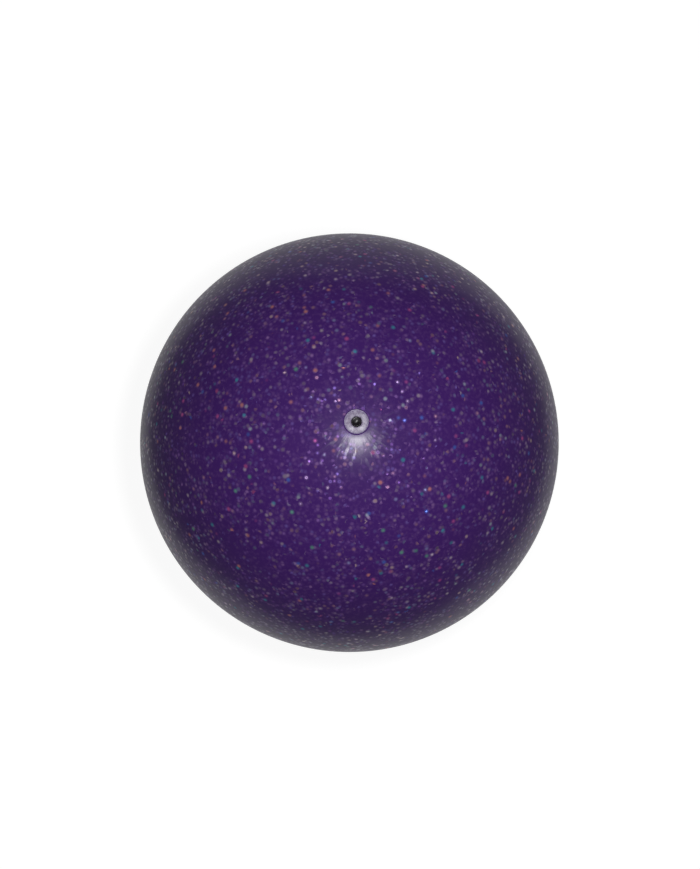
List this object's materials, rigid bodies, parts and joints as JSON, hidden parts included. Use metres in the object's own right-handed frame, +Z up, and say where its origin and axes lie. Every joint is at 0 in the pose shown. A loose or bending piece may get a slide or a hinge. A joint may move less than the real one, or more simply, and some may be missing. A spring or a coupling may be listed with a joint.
{
  "type": "rhythmic gymnastics ball",
  "caption": "Hollow glitter-skinned ball for rhythmic gymnastics, with a flush inflation valve closed by a push-in stopper.",
  "frame": {"origin": "middle of the small flat that the ball rests on, below the valve", "axes": "+Z up through the middle of the ball and out along the valve; X and Y level, with no preferred direction"},
  "size_m": [0.185, 0.185, 0.1843],
  "materials": {
    "wall": "satin",
    "glitter_skin": "gloss",
    "valve": "satin",
    "stopper": "satin"
  },
  "bodies": {
    "ball": {"ball_wall": "wall", "glitter_skin": "glitter_skin", "valve_grommet": "valve"},
    "stopper": {"valve_stopper": "stopper"}
  },
  "joints": [
    {"name": "stopper_pull", "type": "slide", "parent": "ball", "child": "stopper", "axis": [0, 0, 1], "range_m": [0, 0.015]}
  ]
}
